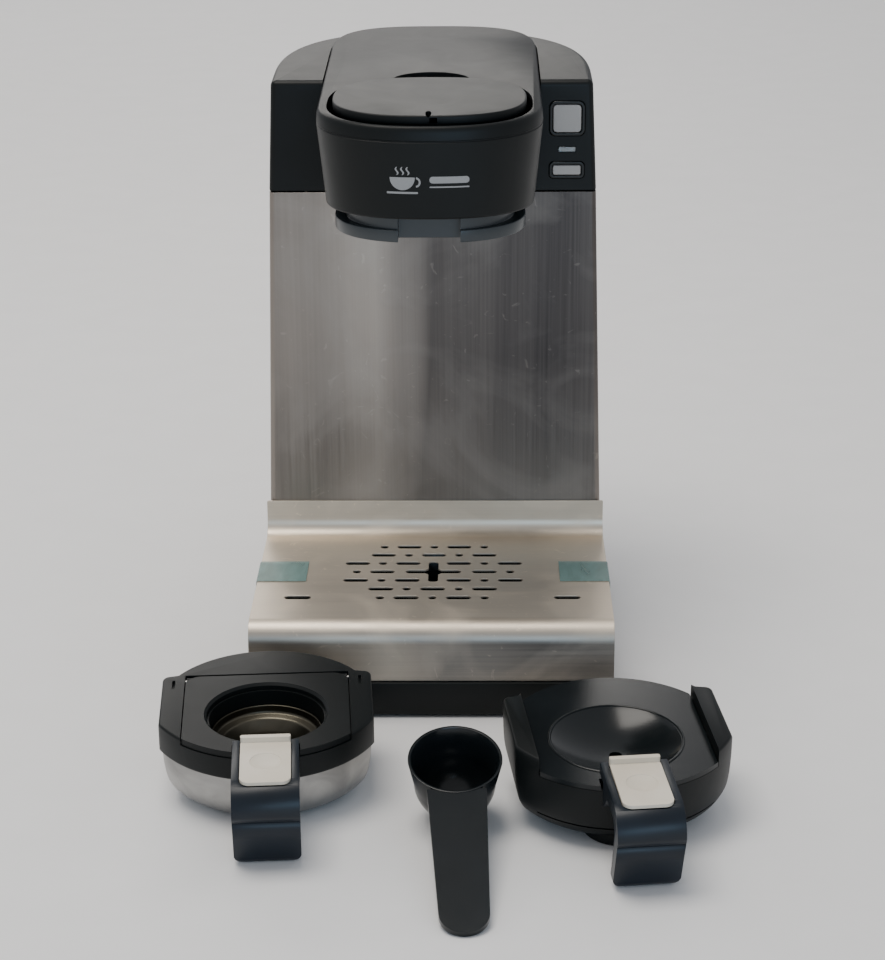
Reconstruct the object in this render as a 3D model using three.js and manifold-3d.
// Single-serve commercial coffee brewer: a stainless column on a black base, a hood with a projecting
// brew head and pour-in lid, a slotted drip cover, two brew drawers and a measuring scoop in front.
// Units are millimetres. The origin lies on the counter under the brew axis, +X right, +Y back, +Z up.
import * as THREE from "three";
import { mergeVertices } from "three/addons/utils/BufferGeometryUtils.js";
import Module from "manifold-3d";

const wasm = await Module();
wasm.setup();

// ---------- driving dimensions ----------
const GAP = 0.3;                // clearance between touching pieces
const FAR = 400;                // reach of a cutting tool that has to pass right through

const PANEL_Y = 57;             // front plane of the column
const REAR_Y = 177;             // rearmost point of the column
const REAR_START = 78;          // where the sides start to curve in
const REAR_POWER = 2.6;         // roundness of the rear outline
const WALL = 2.5;               // moulded wall thickness

const BASE_HALF = 91.2;         // half width of the base
const BASE_FRONT = -71.6;
const BASE_TOP = 19.5;
const FOOT_HEIGHT = 1.5;        // how far the feet hold the base off the counter
const COLUMN_HALF_LOW = 91.1;   // half width of the column where it meets the base
const COLUMN_LOW_Z = 20;
const COLUMN_HALF_HIGH = 85;    // half width at the hood seam
const SEAM_Z = 240;
const HOOD_HALF_TOP = 82.7;
const HOOD_FRONT_Z = 297.8;     // height of the hood's wings above the panel plane
const HOOD_SLOPE = 0.04;        // rise of the wings per millimetre of depth

const HEAD_HALF = 55.5;         // half width of the brew head
const HEAD_FRONT = 44;          // brew head's reach in front of the brew axis
const HEAD_POWER = 2.3;
const HEAD_LOW_Z = 250;
const HEAD_RIM_Z = 295.2;       // front of the head's rim
const HEAD_SLOPE = 0.0495;      // rise of the rim and tongue per millimetre of depth
const HEAD_BAND = 6.8;          // height of the bevelled band round the rim
const TONGUE_REAR = 174;
const TONGUE_STRAIGHT = 118;    // where the tongue's rear corners start

const LID_HALF = 47.5;
const LID_DEPTH = 38.5;         // half depth of the lid
const LID_Y = 2.5;
const LID_PROUD = 3.5;          // lid top above the rim
const LID_SKIN = 4.5;
const LID_AXIS = { y: 38, z: 295.6 };

const RAIL_LEDGE_HALF = 47.2;   // ledges that the drawer's wings hang on
const RAIL_STEM_HALF = 41.5;
const RAIL_LOW_Z = 238;
const RAIL_LEDGE_Z = 244;

const SHELF_Z = 50;             // top of the drip cover
const COVER_HALF = 91.5;
const SHEET = 1;                // thickness of the steel sheet
const COVER_FRONT = -70;
const BEND = 10.5;              // radius of the cover's front bend
const CREASE = 8;               // radius of the cover's bend up to its flange
const FLANGE_TOP = 68.3;
const SLOT_PITCH = 13.4;
const ROW_PITCH = 11.4;
const SLOT_WIDTH = 4.3;
const SLOT_LENGTH = 13;

const CONTROL_X = 69.5;         // centre line of the control buttons

const DRAWER_HALF = 50;         // half width of a drawer across its wings
const DRAWER_TOP = 42;
const HOLE_Y = -14.5;           // drawer hole centre, ahead of the wings' centre
const HANDLE_WIDTH = 30.2;

// ---------- finishes ----------
const finish = (color, roughness, metalness) => ({ color, roughness, metalness });
const BLACK = finish(0x1b1c20, 0.55, 0);
const DARK = finish(0x121317, 0.45, 0);
const STEEL = finish(0xa39c94, 0.32, 1);
const GREY = finish(0x8f8c88, 0.5, 0);
const CREAM = finish(0xc9c2b6, 0.5, 0);
const RUBBER = finish(0x0e0e10, 0.8, 0);
const CLEAR = finish(0xdfe6e8, 0.15, 0);
const TAPE = finish(0x6f9f9e, 0.3, 0);
const BRASS = finish(0xb08d4a, 0.35, 1);
const BOARD = finish(0x1f4a33, 0.6, 0);
const NATURAL = finish(0xc8c6bd, 0.5, 0);

// ---------- solids ----------
function toSolid(geometry) {
  const bare = geometry.clone();
  bare.deleteAttribute("normal");
  bare.deleteAttribute("uv");
  const merged = mergeVertices(bare, 1e-4);
  const vertProperties = new Float32Array(merged.attributes.position.array);
  const triVerts = new Uint32Array(merged.index.array);
  return new wasm.Manifold(new wasm.Mesh({ numProp: 3, vertProperties, triVerts }));
}

function toGeometry(solid) {
  const mesh = solid.getMesh();
  const geometry = new THREE.BufferGeometry();
  geometry.setAttribute("position", new THREE.BufferAttribute(new Float32Array(mesh.vertProperties), 3));
  geometry.setIndex(new THREE.BufferAttribute(new Uint32Array(mesh.triVerts), 1));
  geometry.computeVertexNormals();
  return geometry;
}

function join(...solids) {
  return solids.reduce((whole, solid) => whole.add(solid));
}

function cut(solid, ...tools) {
  return tools.reduce((whole, tool) => whole.subtract(tool), solid);
}

function box(x0, x1, y0, y1, z0, z1) {
  const geometry = new THREE.BoxGeometry(x1 - x0, y1 - y0, z1 - z0);
  geometry.translate((x0 + x1) / 2, (y0 + y1) / 2, (z0 + z1) / 2);
  return toSolid(geometry);
}

// Cylinder standing on z0, or lying along X or Y between two positions.
function disc(radius, z0, z1, x = 0, y = 0, sides = 20) {
  const geometry = new THREE.CylinderGeometry(radius, radius, z1 - z0, sides);
  geometry.rotateX(Math.PI / 2);
  geometry.translate(x, y, (z0 + z1) / 2);
  return toSolid(geometry);
}

function rodX(radius, x0, x1, y, z, sides = 12) {
  const geometry = new THREE.CylinderGeometry(radius, radius, x1 - x0, sides);
  geometry.rotateZ(Math.PI / 2);
  geometry.translate((x0 + x1) / 2, y, z);
  return toSolid(geometry);
}

function rodY(radius, y0, y1, x, z, sides = 16) {
  const geometry = new THREE.CylinderGeometry(radius, radius, y1 - y0, sides);
  geometry.translate(x, (y0 + y1) / 2, z);
  return toSolid(geometry);
}

// Closed skin over rings of points, each ring counter-clockwise from above, from the lowest up.
function loft(rings) {
  const count = rings[0].length;
  const indices = [];
  for (let level = 0; level < rings.length - 1; level++) {
    for (let i = 0; i < count; i++) {
      const a = level * count + i;
      const b = level * count + ((i + 1) % count);
      indices.push(a, b, b + count, a, b + count, a + count);
    }
  }
  const capFaces = (outline) => {
    const corners = outline.map(([x, y]) => new THREE.Vector2(x, y));
    return THREE.ShapeUtils.triangulateShape(corners, []);
  };
  for (const [a, b, c] of capFaces(rings[0])) {
    indices.push(c, b, a);
  }
  const top = (rings.length - 1) * count;
  for (const [a, b, c] of capFaces(rings.at(-1))) {
    indices.push(top + a, top + b, top + c);
  }
  const geometry = new THREE.BufferGeometry();
  geometry.setAttribute("position", new THREE.Float32BufferAttribute(rings.flat(2), 3));
  geometry.setIndex(indices);
  return toSolid(geometry);
}

// Ring at a height, which may be a number or a function of the point's depth.
function ring(outline, height) {
  const heightAt = typeof height === "function" ? height : () => height;
  return outline.map(([x, y]) => [x, y, heightAt(y)]);
}

function slab(outline, z0, z1) {
  return loft([ring(outline, z0), ring(outline, z1)]);
}

// Profile in the depth-height plane, drawn counter-clockwise and extruded across the width.
function across(profile, x0, x1) {
  const shape = new THREE.Shape(profile.map(([y, z]) => new THREE.Vector2(y, z)));
  const geometry = new THREE.ExtrudeGeometry(shape, { depth: x1 - x0, bevelEnabled: false });
  const turn = new THREE.Matrix4().makeBasis(
    new THREE.Vector3(0, 1, 0), new THREE.Vector3(0, 0, 1), new THREE.Vector3(1, 0, 0));
  geometry.applyMatrix4(turn);
  geometry.translate(x0, 0, 0);
  return toSolid(geometry);
}

function tube(points, radius, steps) {
  const path = new THREE.CatmullRomCurve3(points.map((p) => new THREE.Vector3(...p)), false, "centripetal");
  const circle = new THREE.Shape().absarc(0, 0, radius, 0, 2 * Math.PI);
  const geometry = new THREE.ExtrudeGeometry(circle, {
    steps, extrudePath: path, curveSegments: 4, bevelEnabled: false });
  return toSolid(geometry);
}

// Turned shell from a closed profile of radius and height.
function turned(profile, x, y, sides = 24) {
  const points = [...profile, profile[0]].map(([r, z]) => new THREE.Vector2(r, z));
  const geometry = new THREE.LatheGeometry(points, sides);
  geometry.rotateX(Math.PI / 2);
  geometry.translate(x, y, 0);
  return toSolid(geometry);
}

// ---------- outlines ----------
function superArc(cx, cy, a, b, power, from, to, steps) {
  const points = [];
  for (let i = 0; i <= steps; i++) {
    const angle = THREE.MathUtils.degToRad(from + ((to - from) * i) / steps);
    const c = Math.cos(angle);
    const s = Math.sin(angle);
    const x = cx + a * Math.sign(c) * Math.abs(c) ** (2 / power);
    const y = cy + b * Math.sign(s) * Math.abs(s) ** (2 / power);
    points.push([x, y]);
  }
  return points;
}

const arc = (cx, cy, radius, from, to, steps) => superArc(cx, cy, radius, radius, 2, from, to, steps);

function roundedBox(x0, x1, y0, y1, radius, steps = 4) {
  return [
    ...arc(x0 + radius, y0 + radius, radius, 180, 270, steps),
    ...arc(x1 - radius, y0 + radius, radius, 270, 360, steps),
    ...arc(x1 - radius, y1 - radius, radius, 0, 90, steps),
    ...arc(x0 + radius, y1 - radius, radius, 90, 180, steps),
  ];
}

// Plan of the column, hood or base: flat front with small corners and a rounded rear.
function bodyOutline(half, front, corner, inset = 0) {
  const w = half - inset;
  const y = front + inset;
  const r = Math.max(corner - inset, 0.5);
  return [
    ...arc(-w + r, y + r, r, 180, 270, 3),
    ...arc(w - r, y + r, r, 270, 360, 3),
    ...superArc(0, REAR_START, w, REAR_Y - REAR_START - inset, REAR_POWER, 0, 180, 18),
  ];
}

// Plan of the brew head and the tongue behind it.
function headOutline(inset = 0, tuckX = 1, tuckY = 1) {
  const w = (HEAD_HALF - inset) * tuckX;
  const rearDepth = TONGUE_REAR - TONGUE_STRAIGHT - inset;
  return [
    ...superArc(0, 0, w, (HEAD_FRONT - inset) * tuckY, HEAD_POWER, 180, 360, 18),
    ...superArc(0, TONGUE_STRAIGHT, w, rearDepth, 3, 0, 180, 12),
  ];
}

const headTop = (y) => HEAD_RIM_Z + (y + HEAD_FRONT) * HEAD_SLOPE;
const hoodTop = (y) => HOOD_FRONT_Z + (y - PANEL_Y) * HOOD_SLOPE;
const lower = (surface, drop) => (y) => surface(y) - drop;
const columnHalf = (z) => COLUMN_HALF_LOW
  + ((COLUMN_HALF_HIGH - COLUMN_HALF_LOW) * (z - COLUMN_LOW_Z)) / (SEAM_Z - COLUMN_LOW_Z);

// Plan of a drawer, in the drawer's own frame with the handle towards -Y.
function drawerOutline(inset = 0) {
  const half = DRAWER_HALF - inset;
  const frontRadius = 55.8 - inset;
  const frontY = 1.8;
  const frontAngle = THREE.MathUtils.radToDeg(Math.acos(half / frontRadius));
  const backRadius = 51.1 - inset;
  const backY = -3.1;
  const earX = 43 - inset;
  const backAngle = THREE.MathUtils.radToDeg(Math.acos(earX / backRadius));
  const ear = Math.max(4 - inset, 0.5);
  const earY = 24.2 - inset;
  return [
    ...arc(0, frontY, frontRadius, 180 + frontAngle, 360 - frontAngle, 14),
    ...arc(half - ear, earY - ear, ear, 0, 90, 2),
    ...arc(0, backY, backRadius, backAngle, 180 - backAngle, 10),
    ...arc(-half + ear, earY - ear, ear, 90, 180, 2),
  ];
}

// ---------- scene ----------
const brewer = new THREE.Group();

function place(group, name, solid, look) {
  const mesh = new THREE.Mesh(toGeometry(solid), new THREE.MeshStandardMaterial(look));
  mesh.name = name;
  group.add(mesh);
}

// ---------- base ----------
const FLOOR_TOP = 5;
const footSpots = [[-72, -52], [72, -52], [-62, 128], [62, 128]];
const screwSpots = [[-72, 72], [72, 72], [-40, 150], [40, 150]];

function basePan() {
  const outline = (inset) => bodyOutline(BASE_HALF, BASE_FRONT, 8, inset);
  const tray = cut(slab(outline(0), FOOT_HEIGHT, BASE_TOP), slab(outline(WALL), FLOOR_TOP, FAR));
  const sideTop = SHELF_Z - SHEET - GAP;
  const sideFront = COVER_FRONT + BEND + 1;
  const sides = [
    box(-BASE_HALF + 0.2, -BASE_HALF + WALL, sideFront, 52, 10, sideTop),
    box(BASE_HALF - WALL, BASE_HALF - 0.2, sideFront, 52, 10, sideTop)];
  const recesses = footSpots.map(([x, y]) => disc(7.5, -1, 3.4, x, y, 16));
  const screwHoles = screwSpots.map(([x, y]) => join(disc(4, -1, 3.9, x, y, 12), disc(2.1, -1, 9, x, y, 8)));
  return cut(join(tray, ...sides), ...recesses, ...screwHoles);
}
place(brewer, "base_pan", basePan(), BLACK);

footSpots.forEach(([x, y], i) => {
  place(brewer, `rubber_foot_${i + 1}`, disc(7, 0, 3.1, x, y, 16), RUBBER);
});
screwSpots.forEach(([x, y], i) => {
  place(brewer, `base_screw_${i + 1}`, join(disc(3.6, 2, 3.6, x, y, 12), disc(1.6, 3, 16, x, y, 8)), STEEL);
});

// ---------- column ----------
function frontPanel() {
  const low = BASE_TOP + GAP;
  const high = SEAM_Z - GAP;
  const sheetAt = (z) => {
    const w = columnHalf(z);
    return [
      ...arc(-w + 3, PANEL_Y + 3, 3, 180, 270, 3),
      ...arc(w - 3, PANEL_Y + 3, 3, 270, 360, 3),
      [w, PANEL_Y + 9], [w - SHEET, PANEL_Y + 9],
      ...arc(w - 3, PANEL_Y + 3, 3 - SHEET, 0, -90, 3),
      ...arc(-w + 3, PANEL_Y + 3, 3 - SHEET, 270, 180, 3),
      [-w + SHEET, PANEL_Y + 9], [-w, PANEL_Y + 9],
    ];
  };
  return loft([ring(sheetAt(low), low), ring(sheetAt(high), high)]);
}
place(brewer, "front_panel", frontPanel(), STEEL);

const GLAND = { x: -24, z: 36 };
function rearShell() {
  const low = BASE_TOP + GAP;
  const high = SEAM_Z;
  const front = PANEL_Y + 9 + GAP;
  const plan = (z, inset) => bodyOutline(columnHalf(z), front, 0.5, inset);
  const outer = loft([ring(plan(low, 0), low), ring(plan(high, 0), high)]);
  const inner = loft([ring(plan(low, WALL), low - 1), ring(plan(high, WALL), high + 1)]);
  const mouth = box(-80, 80, front - 1, front + 6, low - 1, high + 1);
  const bosses = screwSpots.map(([x, y]) => {
    const wallY = REAR_Y - 6;
    const rib = Math.abs(x) > 60
      ? box(Math.min(x, Math.sign(x) * 89.4), Math.max(x, Math.sign(x) * 89.4), y - 2, y + 2, low, 40)
      : box(x - 2, x + 2, y, wallY - 2, low, 40);
    return join(disc(5, FLOOR_TOP + GAP, 40, x, y, 10), rib);
  });
  const bores = screwSpots.map(([x, y]) => disc(1.9, 0, 18, x, y, 8));
  const vents = [];
  for (let row = 0; row < 6; row++) {
    const z = 180 + row * 7;
    vents.push(box(-34, 34, REAR_Y - 16, REAR_Y + 5, z, z + 3));
  }
  const glandHole = rodY(7.3, REAR_Y - 20, REAR_Y + 5, GLAND.x, GLAND.z);
  const shell = join(cut(outer, inner, mouth), ...bosses);
  return cut(shell, ...bores, ...vents, glandHole);
}
place(brewer, "rear_shell", rearShell(), BLACK);

function inletGland() {
  const flange = rodY(10, REAR_Y - 0.2, REAR_Y + 2, GLAND.x, GLAND.z);
  const barrel = rodY(7, REAR_Y - 14, REAR_Y, GLAND.x, GLAND.z);
  const nut = rodY(10, REAR_Y - 13, REAR_Y - 8, GLAND.x, GLAND.z, 6);
  return cut(join(flange, barrel, nut), rodY(3.6, REAR_Y - 20, REAR_Y + 5, GLAND.x, GLAND.z));
}
place(brewer, "cord_inlet_gland", inletGland(), RUBBER);

// ---------- hood ----------
const BREW_BUTTON = { z: 278.1, halfX: 7.2, halfZ: 7.15 };
const PULSE_BUTTON = { z: 251.2, halfX: 7.2, halfZ: 2.5 };
const BEZEL = 1.9;
const WINDOW = { z: 262, halfX: 4.3, halfZ: 1.2 };

const controlHole = (spec, grow, y0, y1) => box(CONTROL_X - spec.halfX - grow, CONTROL_X + spec.halfX + grow,
  y0, y1, spec.z - spec.halfZ - grow, spec.z + spec.halfZ + grow);

// The head's taper below its rim, shared by the head and the opening it sits in.
const headRings = (grow, low) => [
  ring(headOutline(-grow, 0.928, 0.95), low),
  ring(headOutline(-grow), (y) => headTop(y) - HEAD_BAND),
];

function hoodShell() {
  const outline = (half, inset) => bodyOutline(half, PANEL_Y, 3, inset);
  const outer = loft([
    ring(outline(COLUMN_HALF_HIGH, 0), SEAM_Z + GAP),
    ring(outline(HOOD_HALF_TOP, 0), lower(hoodTop, 3)),
    ring(outline(HOOD_HALF_TOP, 0.9), lower(hoodTop, 0.9)),
    ring(outline(HOOD_HALF_TOP, 3), hoodTop),
  ]);
  const inner = loft([
    ring(outline(COLUMN_HALF_HIGH, WALL), SEAM_Z - 1),
    ring(outline(HOOD_HALF_TOP, WALL), lower(hoodTop, 4)),
    ring(outline(HOOD_HALF_TOP, WALL + 2), lower(hoodTop, WALL)),
  ]);
  const headOpening = loft([
    ...headRings(GAP, HEAD_LOW_Z - GAP),
    ring(headOutline(-GAP), headTop),
    ring(headOutline(-GAP), FAR),
  ]);
  return cut(outer, inner, headOpening,
    controlHole(BREW_BUTTON, BEZEL + GAP, PANEL_Y - 5, PANEL_Y + 5),
    controlHole(PULSE_BUTTON, BEZEL + GAP, PANEL_Y - 5, PANEL_Y + 5),
    controlHole(WINDOW, GAP, PANEL_Y - 5, PANEL_Y + 5));
}
place(brewer, "hood_shell", hoodShell(), BLACK);

const lidOpening = (inset) => [
  ...superArc(0, 2, 50.5 - inset, 43.2 - inset, 2.4, 180, 360, 16),
  ...superArc(0, 2, 50.5 - inset, 47.6 - inset, 2.8, 0, 180, 16).slice(1, -1),
];

function headShell() {
  const outer = loft([
    ...headRings(0, HEAD_LOW_Z),
    ring(headOutline(1.6), headTop),
  ]);
  const inner = loft([
    ring(headOutline(WALL, 0.928, 0.95), HEAD_LOW_Z - 1),
    ring(headOutline(WALL), lower(headTop, HEAD_BAND + 1)),
    ring(headOutline(WALL + 1.6), lower(headTop, WALL)),
  ]);
  const recess = slab(superArc(0, 50, 19.5, 15.5, 2, 0, 360, 24).slice(0, -1), headTop(50) - 2, FAR);
  const rearRoom = box(-FAR, FAR, PANEL_Y + WALL, FAR, 0, 286);
  const opening = slab(lidOpening(0), 270, FAR);
  const earPart = (x, y0, y1, top) => box(x - 2.5, x + 2.5, y0, y1, 292, top);
  const ears = [-29.5, 29.5].map((x) => join(
    earPart(x, 35, 40.4, 297.7), earPart(x, 35, 51, 296.2), earPart(x, 45.4, 51, 297.7)));
  const pinHole = rodX(1.6, -33, 33, LID_AXIS.y, LID_AXIS.z);
  const shell = cut(outer, inner, rearRoom, recess, opening);
  return cut(join(shell, ...ears), pinHole);
}
place(brewer, "head_shell", headShell(), BLACK);

// ---------- pour-in lid and basin ----------
const lidOutline = (inset) =>
  superArc(0, LID_Y, LID_HALF - inset, LID_DEPTH - inset, 2.5, 0, 360, 32).slice(0, -1);
const lidTop = (y) => headTop(y) + LID_PROUD;

function lid() {
  const plate = loft([
    ring(lidOutline(1), lower(lidTop, LID_SKIN)),
    ring(lidOutline(0), lower(lidTop, LID_SKIN - 1)),
    ring(lidOutline(0), lower(lidTop, 1)),
    ring(lidOutline(1.2), lidTop),
  ]);
  const lip = slab(superArc(0, -2, 42, 30, 2.5, 0, 360, 20).slice(0, -1), 290, 297);
  const lipRoom = slab(superArc(0, -2, 40, 28, 2.5, 0, 360, 20).slice(0, -1), 280, 294.5);
  const barrel = rodX(3.2, -26, 26, LID_AXIS.y, LID_AXIS.z);
  const bore = rodX(1.6, -30, 30, LID_AXIS.y, LID_AXIS.z);
  const notch = box(-1.4, 1.4, LID_Y - LID_DEPTH + 0.5, LID_Y - LID_DEPTH + 9, lidTop(-31) - 0.8, FAR);
  return cut(join(plate, cut(lip, lipRoom), barrel), bore, notch);
}
place(brewer, "fill_lid", lid(), BLACK);
place(brewer, "lid_hinge_pin", rodX(1.3, -31.8, 31.8, LID_AXIS.y, LID_AXIS.z), STEEL);

const BASIN_LOW = 262;
function fillBasin() {
  const outline = (inset) => superArc(0, -3, 48 - inset, 34.5 - inset, 2.4, 0, 360, 28).slice(0, -1);
  const outer = loft([
    ring(outline(12), BASIN_LOW), ring(outline(3), BASIN_LOW + 6),
    ring(outline(0.5), 284), ring(outline(0), 287),
  ]);
  const inner = loft([
    ring(outline(13.5), BASIN_LOW + 2), ring(outline(5), BASIN_LOW + 8),
    ring(outline(2.5), 284), ring(outline(2), 288),
  ]);
  const drain = disc(4, BASIN_LOW - 5, BASIN_LOW + 5, -14, 12, 20);
  return cut(outer, inner, drain);
}
place(brewer, "fill_basin", fillBasin(), DARK);

// ---------- drawer rails and spray head ----------
function railHousing() {
  const outline = (half, front) => [
    ...superArc(0, 0, half, front, HEAD_POWER, 180, 360, 16),
    [half, PANEL_Y - GAP], [-half, PANEL_Y - GAP],
  ];
  const ledge = slab(outline(RAIL_LEDGE_HALF, 40), RAIL_LOW_Z, RAIL_LEDGE_Z);
  const stem = slab(outline(RAIL_STEM_HALF, 38.5), RAIL_LEDGE_Z - 0.5, HEAD_LOW_Z - GAP);
  const cavity = slab(outline(36, 27), RAIL_LOW_Z - 1, 247);
  const rearWall = box(-60, 60, PANEL_Y - 4, FAR, RAIL_LOW_Z - 2, 248);
  const latchGap = box(-15, 15, -60, -29.5, RAIL_LOW_Z - 1, HEAD_LOW_Z + 1);
  const needleHole = disc(5, 240, 260);
  return cut(join(ledge, stem), cut(cavity, rearWall), latchGap, needleHole);
}
place(brewer, "rail_housing", railHousing(), DARK);

function sprayPlate() {
  const holes = [];
  for (let i = 0; i < 8; i++) {
    const angle = (i * Math.PI) / 4;
    holes.push(disc(1.1, 240, 250, 15 * Math.cos(angle), 15 * Math.sin(angle), 6));
  }
  return cut(disc(22.5, 245, 246.7, 0, 0, 28), disc(2.6, 240, 250, 0, 0, 12), ...holes);
}
place(brewer, "spray_plate", sprayPlate(), STEEL);
place(brewer, "spray_seal", cut(disc(25.8, 244.4, 246.7, 0, 0, 28), disc(22.9, 240, 250, 0, 0, 28)), RUBBER);
place(brewer, "spray_needle", turned([[0.7, 240.5], [2.2, 243.5], [2.2, 254], [0.7, 254]], 0, 0, 10), STEEL);

// ---------- controls ----------
const CAP_FRONT = PANEL_Y - 0.6;
for (const [name, spec] of [["brew", BREW_BUTTON], ["pulse", PULSE_BUTTON]]) {
  const bezelRing = cut(
    controlHole(spec, BEZEL, PANEL_Y - 0.7, PANEL_Y + 4), controlHole(spec, GAP, PANEL_Y - 5, PANEL_Y + 8));
  place(brewer, `${name}_bezel`, bezelRing, DARK);
  const cap = join(
    controlHole(spec, 0, CAP_FRONT, PANEL_Y + 5.5), controlHole(spec, 1.2, PANEL_Y + 4.4, PANEL_Y + 5.5));
  place(brewer, `${name}_button`, cap, GREY);
}
place(brewer, "indicator_window", controlHole(WINDOW, 0, PANEL_Y - 0.2, PANEL_Y + 6), CLEAR);

function controlBoard() {
  const board = box(59, 79, 68, 69.6, 244, 293);
  const switches = [BREW_BUTTON, PULSE_BUTTON].map((spec) =>
    box(CONTROL_X - 3, CONTROL_X + 3, 64.6, 68.5, spec.z - 2.4, spec.z + 2.4));
  const lamp = box(CONTROL_X - 2, CONTROL_X + 2, 64, 68.5, WINDOW.z - 1.2, WINDOW.z + 1.2);
  return join(board, ...switches, lamp);
}
place(brewer, "control_board", controlBoard(), BOARD);

// ---------- water system inside the column ----------
const TANK = { x: 0, y: 115, radius: 42, low: 27, top: 120 };

function tankBracket() {
  const plate = box(-50, 50, 80, 142, 23, 26);
  const legSpots = [[-45, 84], [45, 84], [-45, 138], [45, 138]];
  const legs = legSpots.map(([x, y]) => disc(4, FLOOR_TOP + GAP, 24, x, y, 12));
  return join(plate, ...legs);
}
place(brewer, "tank_bracket", tankBracket(), STEEL);

const tankShell = turned([
  [0.01, TANK.low], [TANK.radius, TANK.low], [TANK.radius, TANK.top], [TANK.radius - 1.5, TANK.top],
  [TANK.radius - 1.5, TANK.low + 1.5], [0.01, TANK.low + 1.5]], TANK.x, TANK.y, 28);
place(brewer, "heating_tank", tankShell, STEEL);

const ELEMENT_HALF = 15;
const OUTLET = [20, 96];
function tankCover() {
  const top = disc(TANK.radius, TANK.top + GAP, TANK.top + 4, TANK.x, TANK.y, 28);
  const legs = [-1, 1].map((side) => disc(4.5, 100, 140, side * ELEMENT_HALF, TANK.y, 12));
  return cut(top, ...legs, disc(3.6, 100, 140, ...OUTLET, 12));
}
place(brewer, "tank_cover", tankCover(), STEEL);

const elementPath = [
  [-ELEMENT_HALF, TANK.y, 134], [-ELEMENT_HALF, TANK.y, 90], [-ELEMENT_HALF, TANK.y, 60],
  [-10.6, TANK.y, 49], [0, TANK.y, 45], [10.6, TANK.y, 49],
  [ELEMENT_HALF, TANK.y, 60], [ELEMENT_HALF, TANK.y, 90], [ELEMENT_HALF, TANK.y, 134]];
place(brewer, "heating_element", tube(elementPath, 3.8, 30), STEEL);
place(brewer, "thermostat", join(disc(8, 124.4, 130, 0, 138, 16), disc(3, 129, 134, 0, 138, 12)), NATURAL);
place(brewer, "thermal_fuse", disc(3, 124.4, 136, -24, 100, 14), BRASS);

function reservoir() {
  const shape = (inset) => [
    [-72 + inset, 82 + inset], [72 - inset, 82 + inset],
    ...superArc(0, 100, 72 - inset, 66 - inset, 2.6, 0, 180, 14)];
  return cut(slab(shape(0), 142, 226), slab(shape(2), 144, FAR));
}
place(brewer, "cold_reservoir", reservoir(), NATURAL);

const outletPath = [
  [...OUTLET, 117], [...OUTLET, 126], [20, 84, 133], [20, 74, 142], [20, 73, 170], [20, 73, 220],
  [20, 72, 246], [16, 64, 256], [8, 46, 257], [0, 24, 257], [0, 9, 257]];
place(brewer, "outlet_tube", tube(outletPath, 3, 44), CLEAR);
place(brewer, "spray_elbow", join(
  cut(disc(5.5, 250.2, 253.4, 0, 0, 12), disc(2.5, 240, 260, 0, 0, 12)),
  disc(5.5, 254.4, 260.6, 0, 0, 12), box(3.2, 5.2, -2, 2, 252, 256)), NATURAL);
const fillPath = [
  [-14, 12, 265], [-14, 13, 259.5], [-14, 22, 256], [-14, 45, 255.6], [-14, 66, 254],
  [-14, 92, 246], [-14, 104, 232], [-14, 106, 214]];
place(brewer, "fill_tube", tube(fillPath, 2.9, 30), CLEAR);
place(brewer, "air_pump", join(disc(14, 26, 78, 66, 112), disc(6, 77, 86, 66, 112, 12)), DARK);
place(brewer, "vent_valve", join(disc(11, 26, 52, -64, 112), disc(4, 51, 60, -64, 112, 12)), BRASS);

// ---------- drip tray ----------
function dripBasin() {
  const outline = (inset) => roundedBox(-86 + inset, 86 - inset, -64 + inset, 51 - inset, 8 - inset);
  const outer = loft([ring(outline(2), FLOOR_TOP + GAP), ring(outline(0), 47)]);
  const inner = loft([ring(outline(4), FLOOR_TOP + GAP + 2), ring(outline(2), 48)]);
  return cut(outer, inner);
}
place(brewer, "drip_basin", dripBasin(), DARK);

// A slot through the cover, lying across the width; a dot is a slot with no straight part.
function slot(x, y, length, width) {
  const reach = (length - width) / 2;
  const dash = [
    ...arc(x + reach, y, width / 2, -90, 90, 4),
    ...arc(x - reach, y, width / 2, 90, 270, 4)];
  const dot = arc(x, y, width / 2, 0, 360, 8).slice(0, -1);
  return slab(length > width ? dash : dot, SHELF_Z - 10, SHELF_Z + 10);
}

// Columns that hold a dash and a dot in each row, mirrored front to back about the centre row.
const GRILLE_ROWS = [
  { dashes: [-2, 2], dots: [-3, 3] },
  { dashes: [-3, -1, 1, 3], dots: [-2, 2] },
  { dashes: [-2, 0, 2], dots: [-1, 1] },
  { dashes: [-1, 1], dots: [-2, 0, 2] },
];

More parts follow.
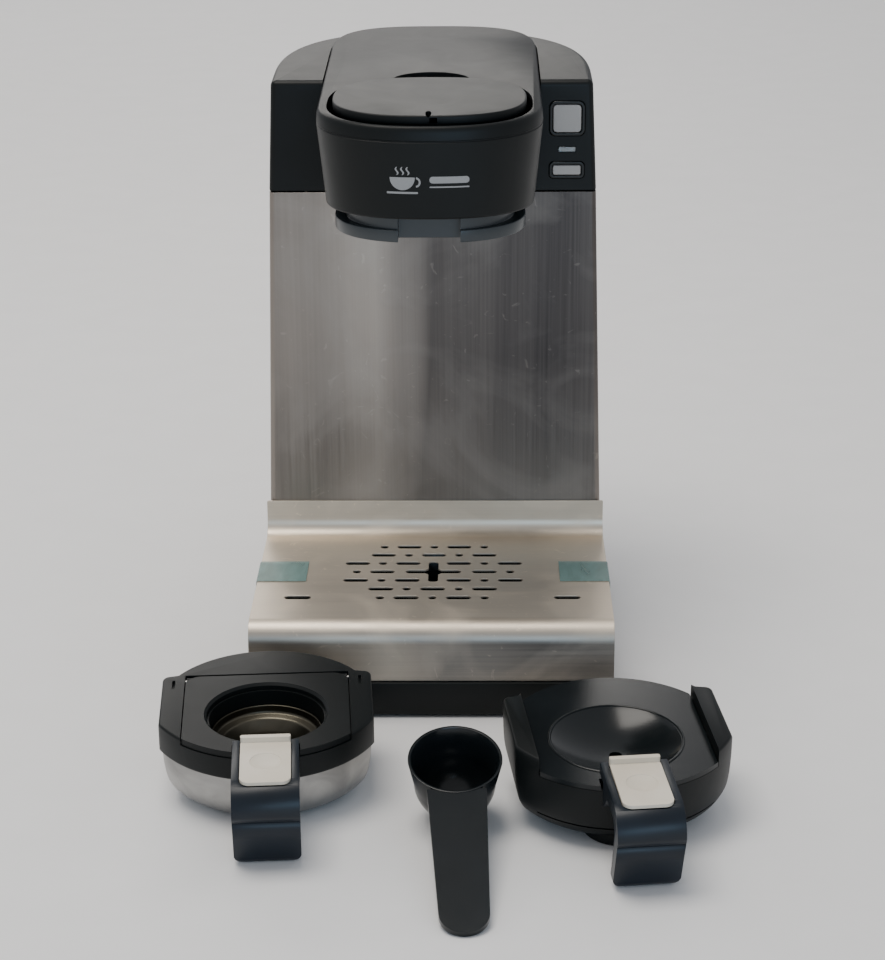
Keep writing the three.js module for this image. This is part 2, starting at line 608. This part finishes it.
function dripCover() {
  const outer = [
    [PANEL_Y - GAP - SHEET, FLANGE_TOP],
    ...arc(PANEL_Y - GAP - SHEET - CREASE, SHELF_Z + CREASE, CREASE, 0, -90, 4),
    ...arc(COVER_FRONT + BEND, SHELF_Z - BEND, BEND, 90, 180, 6),
    [COVER_FRONT, BASE_TOP + GAP]];
  const inner = [
    [COVER_FRONT + SHEET, BASE_TOP + GAP],
    ...arc(COVER_FRONT + BEND, SHELF_Z - BEND, BEND - SHEET, 180, 90, 6),
    ...arc(PANEL_Y - GAP - SHEET - CREASE, SHELF_Z + CREASE, CREASE + SHEET, -90, 0, 4),
    [PANEL_Y - GAP, FLANGE_TOP]];
  const sheet = across([...outer, ...inner], -COVER_HALF, COVER_HALF);
  const holes = [];
  GRILLE_ROWS.forEach(({ dashes, dots }, row) => {
    for (const side of row === 0 ? [1] : [-1, 1]) {
      const y = side * row * ROW_PITCH;
      holes.push(...dashes.map((column) => slot(column * SLOT_PITCH, y, SLOT_LENGTH, SLOT_WIDTH)));
      holes.push(...dots.map((column) => slot(column * SLOT_PITCH, y, SLOT_WIDTH, SLOT_WIDTH)));
    }
  });
  holes.push(slot(0, 0, 29, 4.5));
  const upright = slab(roundedBox(-2.6, 2.6, -13.5, 13.5, 2, 2), SHELF_Z - 10, SHELF_Z + 10);
  const hub = slab([[-6.5, 0], [0, -6.5], [6.5, 0], [0, 6.5]], SHELF_Z - 10, SHELF_Z + 10);
  holes.push(upright, hub, slot(-69, -34, 13.7, 4.4), slot(69, -34, 13.7, 4.4));
  return cut(sheet, ...holes);
}
place(brewer, "drip_cover", dripCover(), STEEL);

for (const side of [-1, 1]) {
  const span = (a, b) => [Math.min(side * a, side * b), Math.max(side * a, side * b)];
  const over = box(...span(66, COVER_HALF + 0.6), -13.7, 12.6, SHELF_Z + GAP, SHELF_Z + GAP + 0.3);
  const down = box(...span(COVER_HALF + GAP, COVER_HALF + 0.6), -13.7, 12.6, 36, SHELF_Z + GAP + 0.3);
  place(brewer, side < 0 ? "tape_left" : "tape_right", join(over, down), TAPE);
}

// ---------- drawers, each in its own tilted and turned frame ----------
const HANDLE_ROOT = -45.6;
const HANDLE_TOP = 44.6;
const HANDLE_TIP = 3.3;         // height of the handle's lower end in the drawer's frame
const LATCH_FRONT = -84.6;

function drawerHandle() {
  const profile = [
    [HANDLE_ROOT, HANDLE_TOP], [HANDLE_ROOT, 39], [-54.4, 39], [-54.4, 29], [-58, 29], [-62, 35],
    [-66, 37], [-76, 37],
    ...arc(-77, 29.5, 7.5, 90, 172, 5),
    [-77.6, 5.5], [-78.8, 3.9], [-80.8, HANDLE_TIP], [-82.8, 3.7], [-84.4, 5.6],
    ...arc(-79.5, 31, 13.6, 175, 90, 8)];
  const half = HANDLE_WIDTH / 2;
  const frontOutline = roundedBox(-half, half, HANDLE_TIP, 60, 6);
  const frontView = slab(frontOutline, -HANDLE_ROOT - 1, 100).rotate([90, 0, 0]);
  const grip = across(profile, -half, half).intersect(frontView);
  const pocket = box(-11.8, 11.8, LATCH_FRONT - 0.5, FAR, 41.4, FAR);
  const springSlot = box(-5, 5, -78, -52, 38.4, 42);
  return cut(grip, pocket, springSlot);
}

function latchButton() {
  const plate = slab(roundedBox(-11.4, 11.4, LATCH_FRONT, -46.2, 4.5), 43.7, 45.3);
  const lip = slab(roundedBox(-11.4, 11.4, -49, -46.2, 1), 44, 47.8);
  const dish = new THREE.CylinderGeometry(7.5, 6.5, 1.4, 16);
  dish.rotateX(Math.PI / 2);
  dish.translate(0, -66, 45.5);
  return cut(join(plate, lip), toSolid(dish));
}

function latchSpring() {
  const profile = [
    [-53, 39.2], [-53, 38.7], [-58, 38.9], [-65, 40.4], [-72, 38.9], [-77, 38.7],
    [-77, 39.2], [-72, 39.5], [-65, 41], [-58, 39.5]];
  return across(profile, -4, 4);
}

// A loose piece's own frame, tilted about its width and then turned on the counter.
function looseGroup({ x, y, z, tilt, yaw }) {
  const group = new THREE.Group();
  group.position.set(x, y, z);
  group.rotation.set(THREE.MathUtils.degToRad(tilt), 0, THREE.MathUtils.degToRad(yaw), "ZXY");
  brewer.add(group);
  return group;
}

const PLATE_HALF = 38.8;
const PLATE_LOW = 39;
const PLATE_REAR = 22.5;
const POD_AXIS = { y: 20.8, z: DRAWER_TOP - 2.1 };
const POD_HOLE = 28;
const FRAME_LOW = 27.5;

// The flush lid plate's outline, which the recess in the frame follows with a margin.
const plateOutline = (grow) => roundedBox(-PLATE_HALF - grow, PLATE_HALF + grow, -90, PLATE_REAR + grow, 7.5);

function podFrame() {
  const block = loft([
    ring(drawerOutline(1), FRAME_LOW), ring(drawerOutline(0), FRAME_LOW + 2),
    ring(drawerOutline(0), DRAWER_TOP - 1), ring(drawerOutline(1), DRAWER_TOP)]);
  const recess = join(slab(plateOutline(0.5), PLATE_LOW - GAP, FAR),
    box(-PLATE_HALF - 0.4, PLATE_HALF + 0.4, POD_AXIS.y - 3, PLATE_REAR + 1.3, 37, FAR));
  const hole = disc(27, 0, FAR, 0, HOLE_Y, 32);
  const sealGroove = cut(disc(31.2, 36.8, 45, 0, HOLE_Y, 28), disc(28.2, 0, 50, 0, HOLE_Y, 28));
  const notches = [-44.5, 44.5].map((x) => box(x - 0.7, x + 0.7, 11, 19, DRAWER_TOP - 1.6, FAR));
  const pinHole = rodX(1.4, -42.5, 42.5, POD_AXIS.y, POD_AXIS.z, 12);
  return cut(block, recess, hole, sealGroove, pinHole, ...notches);
}

function podLid() {
  const plan = drawerOutline(0.6);
  const plate = slab(plan, PLATE_LOW, DRAWER_TOP).intersect(slab(plateOutline(0), 0, FAR));
  const barrel = rodX(1.95, -38.4, 38.4, POD_AXIS.y, POD_AXIS.z, 16);
  const bore = rodX(1.4, -60, 60, POD_AXIS.y, POD_AXIS.z, 12);
  const hole = disc(POD_HOLE, 0, FAR, 0, HOLE_Y, 32);
  const handleNotch = box(-HANDLE_WIDTH / 2 - 0.4, HANDLE_WIDTH / 2 + 0.4, -90, HANDLE_ROOT + 0.4, 0, FAR);
  return cut(join(plate, barrel), bore, hole, handleNotch);
}

function podBowl() {
  const outer = loft([
    ring(drawerOutline(20), 1.2), ring(drawerOutline(13), 2.2), ring(drawerOutline(7), 6),
    ring(drawerOutline(3.6), 12), ring(drawerOutline(2), 20), ring(drawerOutline(1.4), FRAME_LOW - GAP)]);
  const inner = loft([
    ring(drawerOutline(21), 2.4), ring(drawerOutline(14), 3.4), ring(drawerOutline(8.2), 7),
    ring(drawerOutline(4.8), 12.8), ring(drawerOutline(3.2), 20), ring(drawerOutline(2.6), FRAME_LOW + 1)]);
  return cut(outer, inner, disc(4, 0, 10, 0, HOLE_Y, 20));
}

const podCup = () => turned([
  [4, 10.2], [15, 10.2], [17.5, 15], [19.5, 20], [22.6, 25.2], [25.4, 26.2], [26.5, 28], [26.5, 31.5],
  [25.4, 31.5], [25.4, 28.4], [24.8, 27.4], [21.5, 26.5], [18.4, 21], [16.4, 16], [14.2, 11.4], [4, 11.4],
], 0, HOLE_Y);

const podScreen = () => cut(disc(13.2, 11.8, 12.6, 0, HOLE_Y, 20), disc(1.5, 0, 20, 0, HOLE_Y, 12));

const pods = looseGroup({ x: -76.85, y: -133, z: 0.6, tilt: 2.7, yaw: 4.2 });
place(pods, "pod_drawer_frame", podFrame(), BLACK);
place(pods, "pod_lid", podLid(), BLACK);
place(pods, "pod_lid_pin", rodX(1.05, -42, 42, POD_AXIS.y, POD_AXIS.z, 12), STEEL);
place(pods, "pod_seal", cut(disc(30.7, 37.1, 38.5, 0, HOLE_Y, 28), disc(28.7, 0, 50, 0, HOLE_Y, 28)), RUBBER);
place(pods, "pod_bowl", podBowl(), STEEL);
place(pods, "pod_cup", podCup(), STEEL);
place(pods, "pod_screen", podScreen(), STEEL);
place(pods, "pod_handle", drawerHandle(), BLACK);
place(pods, "pod_latch", latchButton(), CREAM);
place(pods, "pod_latch_spring", latchSpring(), STEEL);

const DECK_Z = 36;
const DISH = { x: -1.5, y: -10.5, radius: 30.2, depth: 9 };

function waterBody() {
  const outer = loft([
    ring(drawerOutline(26), 3), ring(drawerOutline(12), 4.5), ring(drawerOutline(6), 7.5),
    ring(drawerOutline(2.4), 13), ring(drawerOutline(0.8), 20), ring(drawerOutline(0), 30),
    ring(drawerOutline(0), DRAWER_TOP - 1), ring(drawerOutline(1), DRAWER_TOP)]);
  const boss = slab(roundedBox(-19.5, 19.5, -47, 5, 17, 6), 1.1, 8);
  const deckRoom = box(-41, 41, -90, 90, DECK_Z - 2.6, FAR);
  const rim = slab(drawerOutline(2.4), 12, DECK_Z).intersect(box(-41, 41, -90, 90, 0, FAR));
  const spout = join(disc(3.5, -5, 14, 0, HOLE_Y, 20), disc(17, -5, 6, 0, HOLE_Y, 24));
  return cut(join(outer, boss), deckRoom, rim, spout);
}

function waterDeck() {
  const dishRadius = (DISH.radius ** 2 + DISH.depth ** 2) / (2 * DISH.depth);
  const dishZ = (r) => DECK_Z - DISH.depth + dishRadius - Math.sqrt(dishRadius ** 2 - r ** 2);
  const radii = [3, 8, 13, 18, 22.5, 27, DISH.radius];
  const skin = 1.8;
  const under = radii.map((r) => [r, dishZ(r) - skin]);
  const over = radii.map((r) => [r, dishZ(r)]).reverse();
  const bowl = turned([...under, ...over], DISH.x, DISH.y, 32);
  const plate = slab(drawerOutline(0), DECK_Z - 2.3, DECK_Z).intersect(box(-40.6, 40.6, -90, 90, 0, FAR));
  const mouth = disc(DISH.radius - 0.2, 0, FAR, DISH.x, DISH.y, 32);
  const handleNotch = box(-HANDLE_WIDTH / 2 - 0.4, HANDLE_WIDTH / 2 + 0.4, -90, HANDLE_ROOT + 0.4, 0, FAR);
  return cut(join(cut(plate, mouth), bowl), handleNotch);
}

const waters = looseGroup({ x: 86.9, y: -154.5, z: 1.5, tilt: 3, yaw: 6.8 });
place(waters, "water_drawer_body", waterBody(), BLACK);
place(waters, "water_drawer_deck", waterDeck(), BLACK);
place(waters, "water_handle", drawerHandle(), BLACK);
place(waters, "water_latch", latchButton(), CREAM);
place(waters, "water_latch_spring", latchSpring(), STEEL);

// ---------- measuring scoop ----------
const SCOOP = { rim: 21.75, wall: 1.5, depth: 33, length: 104 };

function scoopSolid() {
  const ball = 19;
  const centre = -(SCOOP.depth - ball);
  const shell = (inset) => {
    const profile = [[0, centre - ball + inset]];
    for (let angle = -72; angle <= 0; angle += 18) {
      const a = THREE.MathUtils.degToRad(angle);
      profile.push([(ball - inset) * Math.cos(a), centre + (ball - inset) * Math.sin(a)]);
    }
    return [...profile, [SCOOP.rim - inset, 0]];
  };
  const bowl = turned([...shell(0), ...shell(SCOOP.wall).reverse()], 0, 0, 24);
  const outline = [
    [-13.5, -19], ...arc(0, -SCOOP.length + 11, 11, 180, 360, 8), [13.5, -19]];
  const handle = cut(slab(outline, -3, -0.4), disc(SCOOP.rim - 1, -10, 10, 0, 0, 24));
  return join(bowl, handle);
}

const scoops = looseGroup({ x: 12.8, y: -180.4, z: 33.5, tilt: 17, yaw: 2.9 });
place(scoops, "scoop", scoopSolid(), DARK);

export default brewer;
